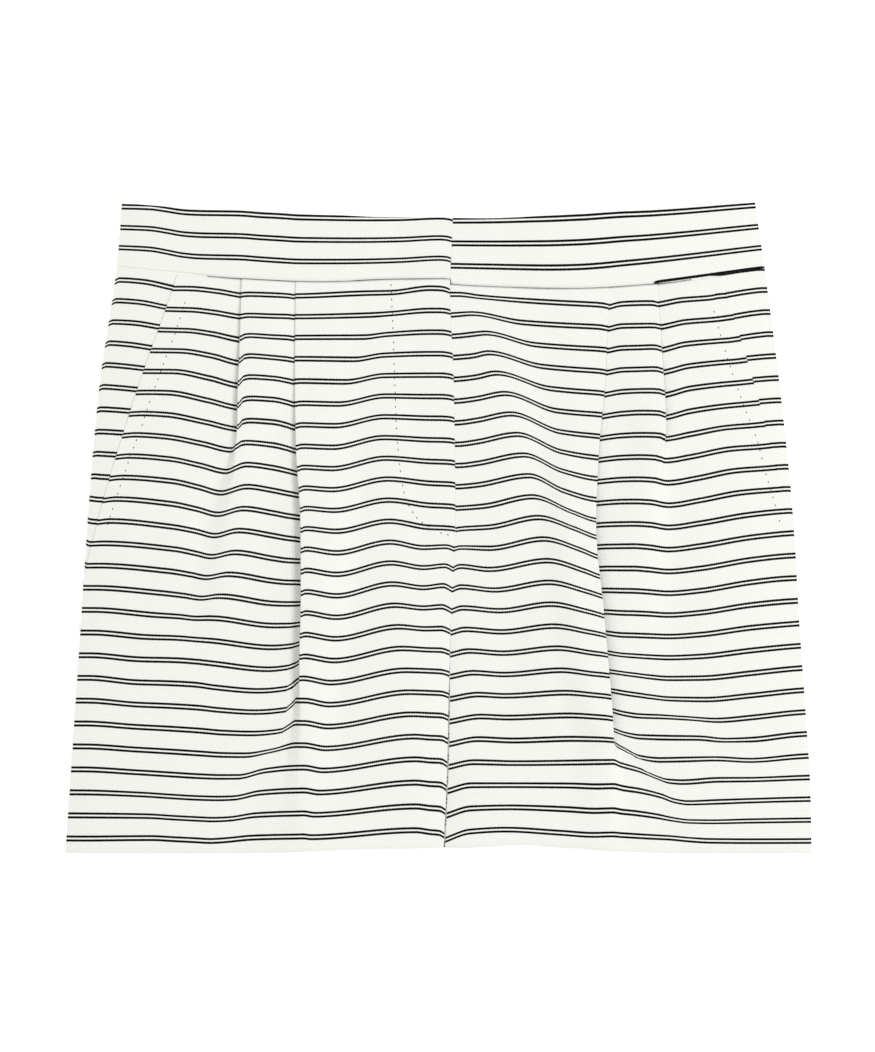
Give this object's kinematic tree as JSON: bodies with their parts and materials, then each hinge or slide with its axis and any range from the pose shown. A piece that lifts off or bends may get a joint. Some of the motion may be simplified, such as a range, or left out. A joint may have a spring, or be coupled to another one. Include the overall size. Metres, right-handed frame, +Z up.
{
  "type": "pleated shorts",
  "caption": "Striped cotton tailored shorts laid flat, with a contoured waistband, fly front, slash pockets and knife pleats.",
  "frame": {"origin": "on the surface that the shorts lie on, below the middle of their outline", "axes": "+X across the shorts towards the wearer's left side, +Y up towards the waist, +Z up off the surface through the front of the shorts"},
  "size_m": [0.4482, 0.3902, 0.0099],
  "materials": {
    "front": "matt ribbed cotton with thin black double stripes",
    "pocket_facing": "matt ribbed cotton with thin black double stripes",
    "waistband": "matt ribbed cotton with thin black double stripes",
    "back": "matt ribbed cotton with thin black double stripes"
  },
  "bodies": {
    "root": {"front_right_leg": "front", "front_left_leg": "front", "pocket_facing_right": "pocket_facing", "pocket_facing_left": "pocket_facing", "front_waistband_right": "waistband", "front_waistband_left": "waistband", "back_waistband": "waistband", "back_right_leg": "back", "back_left_leg": "back"}
  },
  "joints": []
}
